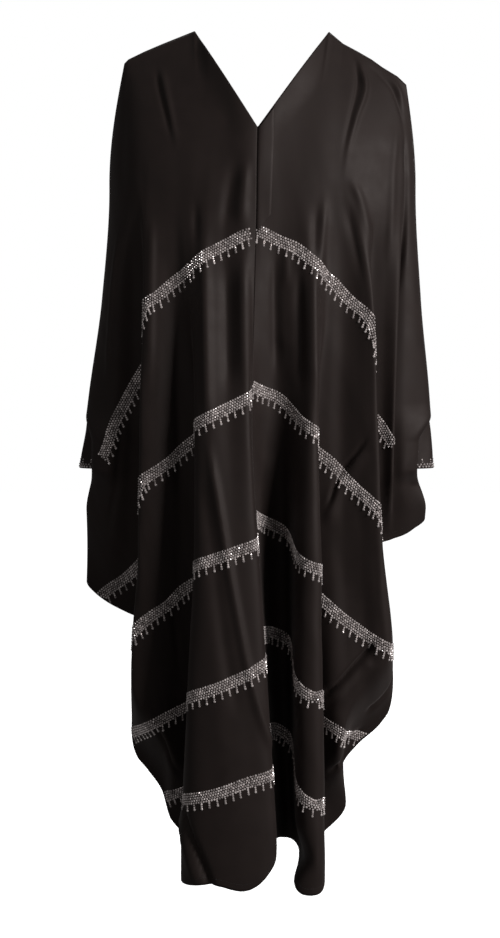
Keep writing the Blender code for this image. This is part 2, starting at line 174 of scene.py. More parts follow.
LEFT_FOLDS = (
    ("recess_start", (.014, -.098), (.007, .006, .003, .011, .020, .035),
     (-.112, -.114, -.102, -.060, -.044, -.044), -1.318, False),
    ("recess_floor", (.034, -.088), (.028, .025, .034, .045, .050, .057),
     (-.108, -.106, -.086, -.048, -.036, -.036), -1.318, False),
    ("column_inner", (.058, -.071), (.053, .059, .063, .060, .057, .061),
     (-.107, -.112, -.118, -.130, -.138, -.142), -1.374, False),
    ("column_crest", (.084, -.042), (.075, .078, .081, .082, .084, .086),
     (-.108, -.120, -.132, -.142, -.148, -.152), -1.383, False),
    ("column_side", (.111, .000), (.099, .093, .094, .098, .103, .107),
     (-.102, -.113, -.124, -.132, -.136, -.138), -1.373, False),
    ("column_turn", (.122, .000), (.107, .104, .080, .076, .079, .091),
     (-.099, -.098, -.090, -.076, -.054, -.006), -1.337, True),
    ("second_start", (.131, .000), (.114, .117, .112, .116, .118, .150),
     (-.097, -.093, -.086, -.085, -.084, -.066), -1.275, True),
    ("second_inner", (.140, .000), (.122, .131, .131, .137, .144, .127),
     (-.095, -.089, -.083, -.083, -.080, -.062), -1.214, True),
    ("second_middle", (.149, .000), (.130, .149, .153, .161, .171, .152),
     (-.093, -.090, -.090, -.086, -.072, -.060), -1.166, True),
    ("second_outer", (.158, .000), (.137, .165, .173, .181, .198, .201),
     (-.093, -.096, -.097, -.093, -.076, -.060), -1.141, True),
    ("second_edge", (.168, .000), (.145, .178, .189, .199, .225, .230),
     (-.092, -.099, -.100, -.094, -.070, -.060), -1.090, True),
    ("second_turn", (.184, .000), (.176, .165, .169, .182, .197, .199),
     (-.074, -.064, -.056, -.050, -.040, -.040), -0.835, True),
    ("third_middle", (.198, .000), (.200, .198, .199, .202, .204, .206),
     (-.068, -.058, -.050, -.044, -.040, -.040), -0.830, True),
    ("third_edge", (.210, .000), (.228, .223, .217, .213, .216, .217),
     (-.054, -.060, -.062, -.050, -.040, -.040), -0.827, True),
    ("third_turn", (.218, .000), (.232, .211, .206, .223, .225, .227),
     (-.044, -.038, -.041, -.036, -.030, -.030), -0.824, True),
    ("wing_middle", (.225, .000), (.240, .235, .234, .240, .241, .242),
     (-.036, -.038, -.038, -.032, -.020, -.020), -0.818, True),
    ("wing_outer", (.231, .000), (.248, .253, .260, .254, .256, .258),
     (-.022, -.026, -.022, -.018, -.010, -.010), -0.808, True),
    ("overarm", (.237, .000), (.253, .264, .284, .272, .274, .275),
     (.000, .000, .000, .000, .000, .000), -0.791, True),
)

# The middle of the back, from the right neck point to the left one
BACK_FOLDS = (
    ("right_ridge", (-.072, .040), (-.080, -.078, -.078, -.080, -.084, -.088),
     (.096, .100, .112, .120, .128, .132), -1.335, False),
    ("right_dip", (-.036, .062), (-.040, -.042, -.044, -.044, -.046, -.048),
     (.098, .090, .088, .092, .096, .098), -1.322, False),
    ("centre_back", (.000, .072), (.000, .000, .002, .004, .004, .004),
     (.102, .100, .108, .116, .124, .128), -1.335, False),
    ("left_dip", (.038, .062), (.038, .038, .040, .042, .044, .046),
     (.098, .088, .086, .088, .092, .094), -1.322, False),
    ("left_ridge", (.076, .040), (.072, .070, .070, .072, .076, .080),
     (.096, .100, .110, .118, .124, .126), -1.335, False),
)

# Creases laid over the folds. A path goes through places given as a fold, counted from the
# panel's first line, and a height. Depth is out of the cloth for a ridge and negative for a trough.
CREASE_COLUMNS = ("width", "depth", "fade_in", "fade_out", "path")
RIGHT_CREASES = (
    # Right shoulder and chest
    (.0050, -.0026, .25, .5, ((8.1, -.052), (7.6, -.100), (6.8, -.155), (6.1, -.200))),
    (.0060, .0026, .25, .5, ((7.5, -.056), (7.0, -.104), (6.2, -.160), (5.5, -.200))),
    (.0100, -.0035, .5, .3, ((1.2, -.190), (1.7, -.260), (2.1, -.330))),
    (.0090, .0040, .4, .3, ((.55, -.205), (.85, -.260), (1.1, -.330))),
    (.0070, -.0030, .5, .5, ((3.65, -.265), (3.65, -.310), (3.65, -.355))),
    # Right column
    (.0080, .0052, .4, .3,
     ((3.15, -.290), (3.05, -.430), (3.0, -.560), (3.0, -.640))),
    (.0100, -.0050, .3, .3, ((1.85, -.350), (1.88, -.480), (1.9, -.590))),
    (.0080, .0042, .3, .3, ((1.05, -.350), (1.15, -.460), (1.1, -.590))),
    (.0065, .0050, .15, .1,
     ((3.1, -.625), (2.65, -.742), (2.35, -.836), (2.03, -.929), (1.72, -1.013), (1.3, -1.090),
      (.7, -1.150))),
    (.0110, -.0035, .2, .2,
     ((3.4, -.680), (3.05, -.790), (2.8, -.900), (2.5, -1.000), (2.1, -1.100))),
    (.0052, -.0080, .15, .0,
     ((4.2, -1.216), (3.8, -1.262), (3.35, -1.315), (3.05, -1.362))),
    (.0090, .0045, .2, .0, ((4.4, -1.240), (3.95, -1.290), (3.5, -1.345))),
    # Right second layer and wing
    (.0070, .0030, .3, .3, ((8.35, -.290), (8.42, -.400), (8.45, -.600))),
    (.0080, -.0030, .3, .3, ((6.6, -.400), (6.6, -.600), (6.35, -.780))),
    (.0050, -.0045, .2, .4, ((7.7, -1.120), (7.0, -1.150), (6.2, -1.186), (5.4, -1.222))),
    (.0060, .0025, .3, .3, ((12.5, -.300), (12.6, -.450), (12.6, -.580))),
    (.0070, -.0025, .3, .3, ((11.6, -.560), (11.8, -.700), (12.2, -.840))),
)

LEFT_CREASES = (
    # Left shoulder and chest
    (.0050, -.0032, .1, .5,
     ((9.9, -.030), (8.7, -.042), (7.9, -.056), (7.3, -.094), (7.8, -.143), (8.7, -.192),
      (9.5, -.250))),
    (.0055, .0070, .1, .6,
     ((9.2, -.030), (8.0, -.044), (7.2, -.060), (6.6, -.096), (7.1, -.146), (8.1, -.196),
      (9.0, -.250))),
    (.0050, -.0035, .15, .4,
     ((6.9, -.050), (5.2, -.072), (3.6, -.102), (2.6, -.140), (2.4, -.200))),
    (.0055, .0065, .15, .5, ((6.4, -.050), (4.4, -.068), (2.6, -.094), (1.5, -.132))),
    (.0060, -.0060, .2, .3, ((2.4, -.150), (2.5, -.250), (2.6, -.350), (2.7, -.440))),
    (.0070, .0035, .3, .4, ((7.2, -.235), (6.7, -.270), (6.5, -.315), (6.1, -.370))),
    (.0080, -.0040, .4, .4, ((8.1, -.270), (8.0, -.335), (8.15, -.420))),
    (.0070, .0030, .3, .3, ((3.9, -.130), (4.5, -.210), (4.7, -.305), (4.8, -.400))),
    (.0080, -.0030, .4, .4, ((13.35, -.270), (13.45, -.330), (13.5, -.380))),
    (.0080, .0030, .4, .4, ((12.5, -.250), (12.9, -.330), (13.0, -.420))),
    # Left column and recess
    (.0080, -.0050, .3, .3, ((16.1, -.345), (16.1, -.460), (16.1, -.560))),
    (.0060, .0025, .3, .4, ((15.5, -.335), (15.5, -.420))),
    (.0080, -.0050, .3, .3, ((14.8, -.360), (14.9, -.480), (14.9, -.590))),
    (.0070, .0048, .3, .3, ((13.6, -.340), (13.6, -.480), (13.5, -.620))),
    # Left second layer: folds of cloth that hang across it
    (.0042, -.0055, .25, .2,
     ((7.9, -.645), (9.4, -.686), (10.5, -.722), (11.3, -.772))),
    (.0110, .0040, .2, .2,
     ((8.2, -.668), (9.6, -.712), (10.7, -.750), (11.3, -.800))),
    (.0048, -.0095, .05, .1,
     ((8.3, -.984), (9.3, -1.012), (10.3, -1.040), (11.5, -1.072))),
    (.0120, .0045, .2, .2, ((8.4, -1.008), (9.6, -1.046), (11.2, -1.092))),
    (.0055, -.0085, .05, .1, ((8.8, -1.142), (10.0, -1.168), (11.5, -1.206))),
    (.0060, -.0060, .1, .2, ((7.2, -1.062), (7.9, -1.088), (8.8, -1.112))),
)

BACK_CREASES = (
    (.0060, -.0040, .15, .4, ((7.3, -.060), (6.9, -.110), (6.3, -.170))),
    (.0070, .0030, .15, .4, ((6.6, -.070), (6.1, -.120), (5.5, -.180))),
    (.0060, -.0045, .15, .4, ((24.4, -.050), (23.8, -.100), (24.3, -.160))),
    (.0080, .0035, .3, .3, ((11.0, -.300), (11.1, -.480), (11.0, -.700))),
    (.0090, -.0035, .3, .3, ((12.4, -.340), (12.5, -.560), (12.4, -.800))),
    (.0080, .0035, .3, .3, ((14.6, -.280), (14.4, -.520), (14.5, -.860))),
    (.0090, -.0035, .3, .3, ((16.6, -.320), (16.5, -.520), (16.6, -.760))),
    (.0070, .0045, .15, .15,
     ((12.2, -.620), (12.7, -.760), (13.2, -.900), (13.8, -1.040), (14.4, -1.180))),
    (.0045, -.0035, .1, .2, ((7.1, -.780), (8.2, -.820), (9.2, -.880))),
    (.0045, -.0035, .1, .2, ((20.2, -1.000), (21.3, -1.035), (22.2, -1.080))),
    (.0060, -.0040, .2, .0, ((15.8, -1.180), (16.4, -1.250), (16.9, -1.330))),
)

CREASES = {"front_right": RIGHT_CREASES, "front_left": LEFT_CREASES, "back": BACK_CREASES}

# The shoulders are smoothed down to this height by passes of a running mean
YOKE_END = -0.36
YOKE_FADE = 0.16
YOKE_PASSES = 4
YOKE_TOP_PARTS = 18
YOKE_SEAM_FOLDS = 2

# Each crease is laid along this many points, and reaches this many folds and widths away
CREASE_POINTS = 160
CREASE_REACH = 1.8
CREASE_WIDTHS = 4

# A faint unevenness of the drape: across, down, depth
DRAPE_WAVES = ((.045, .300, .0011), (.022, .160, .0005), (.110, .450, .0016))
DRAPE_SEED = 11
DRAPE_TOP_Z = -0.10
DRAPE_TURN = 0.20
LATTICE = 64
SEAM_FADE_FOLDS = 0.7
TOP_FADE_PARTS = 20
EDGE_FADE = 0.060

# Each band of stones: its height on the centre seam and on each fold line out from it. Where a
# band leaves the cloth at the lower edge, the last height lies below the edge.
BAND_COLUMNS = ("name", "right", "left")
BANDS = (
    ("first",
     (-.326, -.331, -.346, -.361, -.378, -.389, -.396, -.407, -.426, -.440, -.512, -.568, -.630,
      -.690),
     (-.322, -.328, -.338, -.349, -.366, -.381, -.396, -.404, -.421, -.439, -.452, -.478, -.600,
      -.638, -.668)),
    ("second",
     (-.578, -.584, -.600, -.615, -.628, -.640, -.665, -.686, -.704, -.724, -.835, -.884, -.907,
      -.930),
     (-.565, -.575, -.586, -.622, -.634, -.641, -.662, -.689, -.711, -.735, -.752, -.772, -.850)),
    ("third",
     (-.806, -.812, -.824, -.836, -.849, -.873, -.898, -.920, -.938, -.966, -1.015),
     (-.770, -.787, -.805, -.841, -.852, -.857, -.890, -.927, -.949, -.969, -.984, -1.000,
      -1.030)),
    ("fourth",
     (-.994, -1.001, -1.022, -1.040, -1.059, -1.082, -1.101, -1.109, -1.124, -1.155, -1.180),
     (-.958, -.970, -.985, -1.043, -1.060, -1.056, -1.100, -1.128, -1.146, -1.155, -1.170)),
    ("fifth",
     (-1.174, -1.179, -1.188, -1.208, -1.222, -1.236, -1.254, -1.264),
     (-1.116, -1.131, -1.150, -1.219, -1.234, -1.231, -1.260)),
)
BAND_STARTS = {"right": .0095, "left": .0020}
BAND_SMOOTHING = 0.3
DROP_PLUMB = 0.6
BAND_POINTS = 3000
CUFF_TRIM_ROWS = 2
CUFF_TRIM_STONES = 36
CUFF_TRIM_EDGE = 0.0030

# A stone's sides, the width of its flat table and how far it may lie askew
STONE_SIDES = 6
STONE_TABLE = 0.52
STONE_TILT = 0.10

# A stitch: its share of the pitch, its width and its height
STITCH_SHARE = 0.72
STITCH_WIDTH = 0.0006
STITCH_HEIGHT = 0.0003

# The stage: lights with their place and size, what they look at, and the camera
LIGHTS = {"key": ((2.5, -1.9, 0.6), 1.2), "fill": ((-2.4, -2.4, 0.2), 2.0),
          "back": ((0.6, 2.6, 1.0), 2.0)}
LIGHT_AIM = (0.0, 0.0, -0.6)
CAMERA_PLACE = (-0.016, -3.0, -0.4314)
CAMERA_TILT = 5.276
SENSOR_WIDTH = 36.0
FLOOR_RADII = (0.2, 9.0)
FLOOR_STEPS = (96, 12)


class ClothSettings(bpy.types.PropertyGroup):
    """Sizes and colours of the crepe."""
    colour: bpy.props.FloatVectorProperty(
        name="Cloth colour", description="Colour of the crepe", subtype="COLOR",
        min=0, max=1, default=(0.0130, 0.0082, 0.0072))
    # The placket colour is the cloth colour made a little lighter: a painted sheen on the pressed
    # strip
    placket_painted_sheen_colour: bpy.props.FloatVectorProperty(
        name="Placket colour", description="Colour of the placket, pressed a little shinier",
        subtype="COLOR", min=0, max=1, default=(0.0150, 0.0098, 0.0088))
    thread_colour: bpy.props.FloatVectorProperty(
        name="Thread colour", description="Colour of the stitches", subtype="COLOR",
        min=0, max=1, default=(0.010, 0.008, 0.0075))
    roughness: bpy.props.FloatProperty(
        name="Roughness", description="Roughness of the crepe", min=0, max=1, default=0.62)
    sheen: bpy.props.FloatProperty(
        name="Sheen", description="Strength of the soft sheen", min=0, max=1, default=0.10)
    thickness: bpy.props.FloatProperty(
        name="Cloth thickness", description="Thickness of the crepe", unit="LENGTH",
        default=0.0009)
    grain: bpy.props.FloatProperty(
        name="Grain", description="Size of the crepe's pebbled grain", unit="LENGTH",
        default=0.0009)
    hem_width: bpy.props.FloatProperty(
        name="Hem width", description="Distance of the hem stitches from the lower edge",
        unit="LENGTH", default=0.011)
    stitch_pitch: bpy.props.FloatProperty(
        name="Stitch pitch", description="Distance from one stitch to the next", unit="LENGTH",
        default=0.0042)


class StoneSettings(bpy.types.PropertyGroup):
    """Sizes and colour of the stones and of the bands that they make."""
    colour: bpy.props.FloatVectorProperty(
        name="Stone colour", description="Colour of the foil-backed stones", subtype="COLOR",
        min=0, max=1, default=(0.72, 0.62, 0.60))
    diameter: bpy.props.FloatProperty(
        name="Stone diameter", description="Diameter of a stone", unit="LENGTH", default=0.0040)
    height: bpy.props.FloatProperty(
        name="Stone height", description="How far a stone stands off the cloth", unit="LENGTH",
        default=0.0013)
    pitch: bpy.props.FloatProperty(
        name="Stone pitch", description="Distance between stones along a band", unit="LENGTH",
        default=0.0043)
    row_pitch: bpy.props.FloatProperty(
        name="Row pitch", description="Distance from one row of stones to the next",
        unit="LENGTH", default=0.0038)
    rows: bpy.props.IntProperty(
        name="Rows", description="Rows of stones in a band", default=5)
    drop_every: bpy.props.IntProperty(
        name="Drop spacing", description="How many stones along there is a drop", default=3)
    drop_stones: bpy.props.IntProperty(
        name="Drop stones", description="Stones in each drop", default=3)


class StageSettings(bpy.types.PropertyGroup):
    """Floor, light and camera."""
    floor_colour: bpy.props.FloatVectorProperty(
        name="Floor colour", description="Colour of the floor", subtype="COLOR",
        min=0, max=1, default=(0.9, 0.9, 0.9))
    key_power: bpy.props.FloatProperty(
        name="Key light", description="Power of the large light on the viewer's right",
        default=95.0)
    fill_power: bpy.props.FloatProperty(
        name="Fill light", description="Power of the light on the viewer's left", default=5.0)
    back_power: bpy.props.FloatProperty(
        name="Back light", description="Power of the light behind the cloak", default=75.0)
    world_strength: bpy.props.FloatProperty(
        name="World", description="Strength of the even light from all round", default=0.12)
    floor_gap: bpy.props.FloatProperty(
        name="Floor gap", description="How far the floor lies below the hem", unit="LENGTH",
        default=0.30)
    lens: bpy.props.FloatProperty(
        name="Lens", description="Focal length of the camera", default=70.2)


def smooth(value):
    """Rise from 0 to 1 with level ends: three squares less two cubes of the share."""
    value = np.clip(value, 0.0, 1.0)
    return value * value * (3.0 - 2.0 * value)


def records(rows, columns=FOLD_COLUMNS):
    """Rows of a table with their columns named."""
    return [dict(zip(columns, row)) for row in rows]


def behind(line):
    """The back's fold behind a front fold, at the same x and with less depth."""
    return dict(line, y=tuple(-BACK_FULLNESS * y for y in line["y"]))


def unit(vectors):
    """Vectors divided by their lengths."""
    return vectors / np.maximum(np.linalg.norm(vectors, axis=-1, keepdims=True), SMALLEST_LENGTH)


def top_height(x, v_point):
    """Height of the neckline and of the shoulder seams at x."""
    points = RIGHT_SHOULDER + (v_point,) + LEFT_SHOULDER
    return np.interp(x, [point[0] for point in points], [point[1] for point in points])


def cubic(low, high, low_slope, high_slope, share):
    """A cubic from low to high with the given slopes at its ends."""
    rest = 1 - share
    return (low * (1 + 2 * share) * rest ** 2 + low_slope * share * rest ** 2
            + high * (1 + 2 * rest) * share ** 2 - high_slope * share ** 2 * rest)


def down_the_line(values, z):
    """A cubic curve through a line's values at the six heights, level at the chest."""
    depths, depth = -HEIGHTS, -z
    values = np.array(values)
    slopes = np.gradient(values, depths)
    slopes[0] = 0.0
    index = np.clip(np.searchsorted(depths, depth) - 1, 0, len(depths) - 2)
    span = depths[index + 1] - depths[index]
    share = np.clip((depth - depths[index]) / span, 0.0, 1.0)
    return cubic(values[index], values[index + 1], slopes[index] * span,
                 slopes[index + 1] * span, share)


def line_places(line, v_point, side, part):
    """Places x and y on a fold line, from its top at part 0 to its end at part 1."""
    top_x, top_y = line["top"]
    top_z = top_height(top_x, v_point)
    z = top_z + part * (line["end"] - top_z)
    rounding = np.sin(np.clip((top_z - z) / (top_z - CHEST), 0.0, 1.0) * math.pi / 2)
    yoke_x = top_x + (line["x"][0] - top_x) * rounding
    yoke_y = top_y + (line["y"][0] - top_y) * rounding
    x = np.where(z > CHEST, yoke_x, down_the_line(line["x"], z))
    y = np.where(z > CHEST, yoke_y, down_the_line(line["y"], z))
    if line["in_side_seam"]:
        apart = smooth((z - line["end"]) / SEAM_PULL)
        y = y * apart + side * SEAM_SIDE * (1 - apart)
    return np.stack([x, y], axis=-1)


class ClothPanel:
    """A cloth panel as a smooth surface through its fold lines.

    A place on it is given by a fold, which counts along the lines, and by a part, which runs from
    0 at the neck or shoulder seam to 1 at the lower edge.
    """

    def __init__(self, name, lines, before, after, v_point, side, slits):
        self.name = name
        self.lines = [before] + lines + [after]
        self.last = len(lines) - 1
        self.ends = [line["end"] for line in lines]
        self.in_side_seam = [float(line["in_side_seam"]) for line in lines]
        self.v_point = v_point
        self.side = side
        self.slits = slits

    def section(self, fold, part):
        """A centripetal curve through the four nearest fold lines, then rounded."""
        first = np.clip(np.floor(fold).astype(int), 0, self.last - 1)
        places = np.array([line_places(line, self.v_point, self.side, part) for line in self.lines])
        columns = np.arange(len(part))
        points = [places[first + step, columns] for step in range(4)]
        knots = [np.zeros(len(part))]
        for near, far in zip(points, points[1:]):
            span = np.maximum(np.linalg.norm(far - near, axis=-1), SMALLEST_SPAN)
            knots.append(knots[-1] + np.sqrt(span))
        where = knots[1] + (fold - first) * (knots[2] - knots[1])

        def blend(low, high, start, end):
            share = ((where - start) / (end - start))[:, None]
            return low * (1 - share) + high * share

        lower = [blend(points[i], points[i + 1], knots[i], knots[i + 1]) for i in range(3)]
        upper = [blend(lower[i], lower[i + 1], knots[i], knots[i + 2]) for i in range(2)]
        through = blend(upper[0], upper[1], knots[1], knots[2])
        share = (fold - first)[:, None]
        weights = ((1 - share) ** 3, 3 * share ** 3 - 6 * share ** 2 + 4,
                   -3 * share ** 3 + 3 * share ** 2 + 3 * share + 1, share ** 3)
        rounded = sum(weight * place for weight, place in zip(weights, points)) / 6
        return through * (1 - ROUNDING) + rounded * ROUNDING

    def top(self, fold):
        """Height of the panel's upper edge at each fold."""
        fold = np.atleast_1d(fold)
        return top_height(self.section(fold, np.zeros_like(fold))[:, 0], self.v_point)

    def part_at(self, fold, height):
        """The part of the way down at which a fold reaches a height."""
        top = self.top(fold)
        return (height - top) / (self.end(fold) - top)

    def end(self, fold):
        """Height of the lower edge: straight from line to line, with its corners rounded."""
        folds = np.arange(self.last + 1)
        shifts = np.linspace(-EDGE_ROUNDING, EDGE_ROUNDING, 9)
        nearest_side = np.minimum(fold, self.last - fold)
        spread = np.clip(nearest_side / EDGE_ROUNDING, 0.0, 1.0)
        return sum(np.interp(fold + shift * spread, folds, self.ends) for shift in shifts) / 9

    def clear_of_seam(self, y, z):
        """Keep the panel on its own side of the seam plane."""
        least = np.where(z > SLIT_TOP_Z, SEAM_GAP / 2, SEAM_SIDE)
        return self.side * np.maximum(self.side * y, least)

    def point(self, fold, part):
        """Places on the middle of the cloth: section across, straight share of the height down."""
        fold, part = (array.astype(float) for array in np.broadcast_arrays(fold, part))
        shape = fold.shape
        fold, part = fold.ravel(), part.ravel()
        x, y = self.section(fold, part).T
        top = self.top(fold)
        z = top + part * (self.end(fold) - top)
        for edge, inset in self.slits:
            opening = self.slit_opening(z)
            nearness = smooth(1 - np.abs(fold - edge) / SLIT_FOLDS)
            x = x + (inset * nearness * smooth((INSET_TOP_Z - z) / INSET_TURN)
                     * smooth((z - SLIT_END_Z) / INSET_CLOSES + 1))
            y = y + self.side * SLIT_DEPTH * nearness * opening
        if self.name == "front_left":
            in_tail = smooth(1 - np.abs(self.last - fold - TAIL_FOLD) / TAIL_FOLDS)
            share = np.clip((TAIL_TOP_Z - z) / TAIL_LENGTH, 0.0, 1.0)
            x = x + in_tail * (TAIL_SWAY * np.sin(math.pi * share) ** 2
                               - TAIL_CURL * smooth(2 * share - 1))
        return np.stack([x, self.clear_of_seam(y, z), z], axis=-1).reshape(shape + (3,))

    def slit_opening(self, z):
        """How far the wing stands off the overarm seam at z, where the cuff comes out."""
        return smooth((SLIT_TOP_Z - z) / SLIT_TURN) * smooth((z - SLIT_END_Z) / SLIT_CLOSES + 1)


def cloth_panels():
    """The two fronts and the back, which share their fold lines at the seams."""
    right = records((CENTRE_FOLD,) + RIGHT_FOLDS)
    left = records((CENTRE_FOLD,) + LEFT_FOLDS)
    neck_right, neck_left = RIGHT_SHOULDER[-1][0], LEFT_SHOULDER[0][0]
    back_right = [behind(line) for line in right if line["top"][0] <= neck_right]
    back_left = [behind(line) for line in left if line["top"][0] >= neck_left]
    back = back_right[::-1] + records(BACK_FOLDS) + back_left
    left = left[::-1]
    right_slit = [(len(right) - 1, RIGHT_SLIT_INSET)]
    left_slit = [(0, -LEFT_SLIT_INSET)]
    back_slits = [(0, RIGHT_SLIT_INSET), (len(back) - 1, -LEFT_SLIT_INSET)]
    return {
        "front_left": ClothPanel("front_left", left, back[-2], right[1], FRONT_V_POINT, -1,
                                 left_slit),
        "front_right": ClothPanel("front_right", right, left[-2], back[1], FRONT_V_POINT, -1,
                                  right_slit),
        "back": ClothPanel("back", back, right[-2], left[1], BACK_V_POINT, 1, back_slits),
    }


def curve_through(points, count):
    """Places on a curve through points: cubics whose slopes are the mean of the chords."""
    points = np.array(points, dtype=float)
    slopes = np.gradient(points, axis=0)
    where = np.linspace(0, len(points) - 1, count)
    index = np.clip(where.astype(int), 0, len(points) - 2)
    share = (where - index)[:, None]
    return cubic(points[index], points[index + 1], slopes[index], slopes[index + 1], share)


def soft_noise(across, down, seed):
    """Values from -1 to 1 that change smoothly: a lattice of random heights, smoothly joined."""
    lattice = np.random.default_rng(seed).uniform(-1, 1, (LATTICE, LATTICE))
    i, j = np.floor(across).astype(int), np.floor(down).astype(int)
    u, v = smooth(across - i), smooth(down - j)
    i, next_i = i % LATTICE, (i + 1) % LATTICE
    j, next_j = j % LATTICE, (j + 1) % LATTICE
    near = lattice[i, j] * (1 - u) + lattice[next_i, j] * u
    far = lattice[i, next_j] * (1 - u) + lattice[next_i, next_j] * u
    return near * (1 - v) + far * v


class Surface:
    """A panel's finished cloth on a fine grid of places and outward directions."""

    def __init__(self, panel, steps):
        self.panel = panel
        self.steps = steps
        folds = np.linspace(0.0, panel.last, panel.last * steps + 1)
        self.fold, self.part = np.meshgrid(folds, np.linspace(0.0, 1.0, ROWS + 1), indexing="ij")
        self.places = panel.point(self.fold, self.part)
        self.soften_yoke()
        self.find_outward()
        self.places = self.places + self.outward * self.relief()[..., None]
        self.places[..., 1] = panel.clear_of_seam(self.places[..., 1], self.places[..., 2])
        self.find_outward()
        self.mitre_seams()

    def find_outward(self):
        """Directions out of the cloth: across times down, from neighbouring places."""
        self.outward = unit(np.cross(np.gradient(self.places, axis=0),
                                     np.gradient(self.places, axis=1)))

    def soften_yoke(self):
        """Smooth the shoulders: a running mean across the folds that fades downwards."""
        mean, reach = self.places, self.steps
        for _ in range(YOKE_PASSES):
            padded = np.pad(mean, ((reach + 1, reach), (0, 0), (0, 0)), mode="edge")
            sums = np.cumsum(padded, axis=0)
            mean = (sums[2 * reach + 1:] - sums[:-2 * reach - 1]) / (2 * reach + 1)
        from_seam = np.minimum(self.fold, self.panel.last - self.fold)
        share = (smooth((self.places[..., 2] - YOKE_END) / YOKE_FADE)
                 * smooth(self.part * YOKE_TOP_PARTS)
                 * smooth(from_seam / YOKE_SEAM_FOLDS))[..., None]
        self.places = self.places * (1 - share) + mean * share

    def relief(self):
        """How far creases and drape lift each place out of the cloth."""
        panel = self.panel
        lift = np.zeros(self.fold.shape)
        for crease in records(CREASES[panel.name], CREASE_COLUMNS):
            lift += self.crease_lift(crease)
        step = np.linalg.norm(np.diff(self.places, axis=0), axis=-1)
        across = np.concatenate([np.zeros((1, ROWS + 1)), np.cumsum(step, axis=0)])
        height = self.places[..., 2]
        drape = np.zeros(self.fold.shape)
        for number, (wide, tall, depth) in enumerate(DRAPE_WAVES):
            drape += depth * soft_noise(across / wide, -height / tall, DRAPE_SEED + number)
        lift += drape * smooth((DRAPE_TOP_Z - height) / DRAPE_TURN)
        from_seam = np.minimum(self.fold, panel.last - self.fold)
        from_edge = (height - height[:, -1:]) / EDGE_FADE
        sewn = np.interp(self.fold, np.arange(panel.last + 1), panel.in_side_seam)
        return (lift * smooth(from_seam / SEAM_FADE_FOLDS) * smooth(self.part * TOP_FADE_PARTS)
                * (1 - sewn * (1 - smooth(from_edge))))

    def crease_lift(self, crease):
        """A ridge or trough: a bell curve of the distance to the path, faded at its ends."""
        fold, height = curve_through(crease["path"], CREASE_POINTS).T
        line = self.panel.point(fold, self.panel.part_at(fold, height))
        near = ((self.fold > fold.min() - CREASE_REACH) & (self.fold < fold.max() + CREASE_REACH)
                & (self.places[..., 2] > height.min() - CREASE_WIDTHS * crease["width"])
                & (self.places[..., 2] < height.max() + CREASE_WIDTHS * crease["width"]))
        places = self.places[near]
        apart = np.stack([np.linalg.norm(places - place, axis=-1) for place in line])
        nearest = apart.argmin(axis=0)
        distance = apart.min(axis=0)
        along = nearest / (CREASE_POINTS - 1)
        fade = np.ones_like(along)
        if crease["fade_in"]:
            fade = fade * smooth(along / crease["fade_in"])
        if crease["fade_out"]:
            fade = fade * smooth((1 - along) / crease["fade_out"])
        fade = fade * (np.abs(self.fold[near] - fold[nearest]) < CREASE_REACH)
        lift = np.zeros(self.fold.shape)
        lift[near] = crease["depth"] * fade * np.exp(-(distance / crease["width"]) ** 2)
        return lift

    def mitre_seams(self):
        """Part the centre seam by its gap, and mitre the other seams on their plane."""
        panel, places, outward = self.panel, self.places, self.outward
        on_shoulder = np.abs(places[:, 0, 1]) < SEAM_SIDE
        outward[on_shoulder, 0, 1] = 0.0
        for edge in (0, -1):
            inside = 1 if edge == 0 else -2
            if any(abs(slit[0] - edge % (panel.last + 1)) < 1 for slit in panel.slits):
                opening = panel.slit_opening(places[edge, :, 2])
                outward[edge, :, 1] *= opening
                outward[edge, :, 0] += (1 - opening) * np.sign(places[edge, :, 0])
            else:
                places[edge] += unit(places[inside] - places[edge]) * CENTRE_GAP / 2
        self.outward = unit(outward)

    def at(self, fold, part):
        """Places and outward directions between the grid's own, by straight shares of four."""
        i = np.clip(fold * self.steps, 0, len(self.fold) - 1.001)
        j = np.clip(part * ROWS, 0, ROWS - 0.001)
        u, v = (i % 1)[..., None], (j % 1)[..., None]
        i, j = i.astype(int), j.astype(int)

        def mix(values):
            near = values[i, j] * (1 - u) + values[i + 1, j] * u
            far = values[i, j + 1] * (1 - u) + values[i + 1, j + 1] * u
            return near * (1 - v) + far * v

        return mix(self.places), unit(mix(self.outward))

    def walk(self, fold, part, heading, distance, steps=WALK_STEPS):
        """Walk from given places over the cloth: short straight steps, each turned back into it."""
        small_fold, small_part = 0.5 / self.steps, 0.5 / ROWS
        for _ in range(steps):
            outward = self.at(fold, part)[1]
            across = self.at(fold + small_fold, part)[0] - self.at(fold - small_fold, part)[0]
            down = self.at(fold, part + small_part)[0] - self.at(fold, part - small_part)[0]
            across, down = across / (2 * small_fold), down / (2 * small_part)
            heading = unit(heading - outward * (heading * outward).sum(-1, keepdims=True))
            step = heading * distance / steps
            pairs = ((across, across), (across, down), (down, down))
            aa, ad, dd = ((a * b).sum(-1) for a, b in pairs)
            sa, sd = (step * across).sum(-1), (step * down).sum(-1)
            scale = np.maximum(aa * dd - ad * ad, SMALLEST_LENGTH)
            fold = fold + (sa * dd - sd * ad) / scale
            part = part + (sd * aa - sa * ad) / scale
        return fold, part, heading


@functools.lru_cache(maxsize=None)
def surfaces():
    """The finished cloth of the three panels."""
    return {name: Surface(panel, FINE_STEPS[name]) for name, panel in cloth_panels().items()}


def link_object(name, data):
    """A new object in the scene."""
    made = bpy.data.objects.new(name, data)
    bpy.context.scene.collection.objects.link(made)
    return made


def add_piece(name, vertices, faces, material):
    """A piece of the cloak from arrays of places and of faces, which rides on the body."""
    mesh = bpy.data.meshes.new(name)
    mesh.from_pydata(vertices.tolist(), [], [face for block in faces for face in block.tolist()])
    mesh.shade_smooth()
    mesh.materials.append(material)
    piece = link_object(name, mesh)
    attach(piece, BODY)
    return piece


